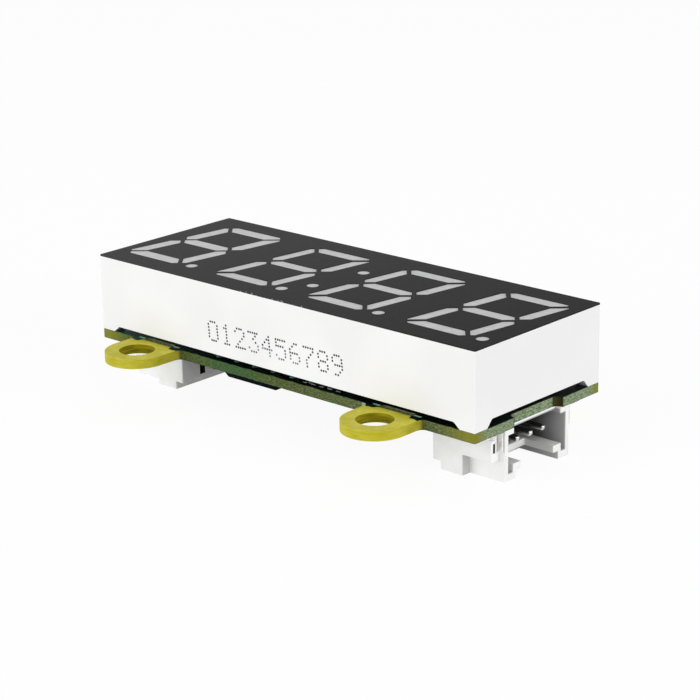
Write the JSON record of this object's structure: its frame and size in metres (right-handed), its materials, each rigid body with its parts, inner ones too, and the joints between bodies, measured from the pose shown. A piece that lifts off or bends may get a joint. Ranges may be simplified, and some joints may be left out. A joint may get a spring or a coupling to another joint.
{
  "type": "seven-segment display module",
  "caption": "Flat numeric display in a white housing on a driver board with drilled screw lugs and a side-entry plug header under each end.",
  "frame": {"origin": "centre of the module's outline, in the plane of the two plug headers' undersides, on which it rests", "axes": "+X along the digits in reading direction, +Y towards the tops of the digits, +Z out of the display's face"},
  "size_m": [0.0502, 0.0312, 0.0142],
  "materials": {
    "white_moulding": "fine matt moulded",
    "dark_face_film": "matt printed",
    "segment_resin": "diffused resin",
    "die": "polished",
    "inner_fibreglass": "bare laminate",
    "potting": "poured resin",
    "tinned_pin": "tin plated",
    "solder": "bright solder",
    "fibreglass_board": "bare laminate with dark green mask",
    "header_nylon": "moulded nylon",
    "tinned_brass": "tin plated",
    "chip_epoxy": "matt moulded epoxy",
    "tinned_lead": "tin plated",
    "capacitor_ceramic": "fired ceramic",
    "resistor_coating": "glass coated"
  },
  "bodies": {
    "root": {"reflector_housing": "white_moulding", "face_film": "dark_face_film", "digit_1_segments": "segment_resin", "digit_2_segments": "segment_resin", "digit_3_segments": "segment_resin", "digit_4_segments": "segment_resin", "decimal_points": "segment_resin", "colon_dots": "segment_resin", "light_dies": "die", "light_board": "inner_fibreglass", "potting_resin": "potting", "front_display_pins": "tinned_pin", "rear_display_pins": "tinned_pin", "solder_joints": "solder", "driver_board": "fibreglass_board", "right_header": "header_nylon", "left_header": "header_nylon", "right_contacts": "tinned_brass", "left_contacts": "tinned_brass", "right_anchor_tabs": "tinned_brass", "left_anchor_tabs": "tinned_brass", "driver_chip": "chip_epoxy", "driver_chip_leads": "tinned_lead", "capacitor_bodies": "capacitor_ceramic", "resistor_bodies": "resistor_coating", "end_terminals": "tinned_lead"}
  },
  "joints": []
}
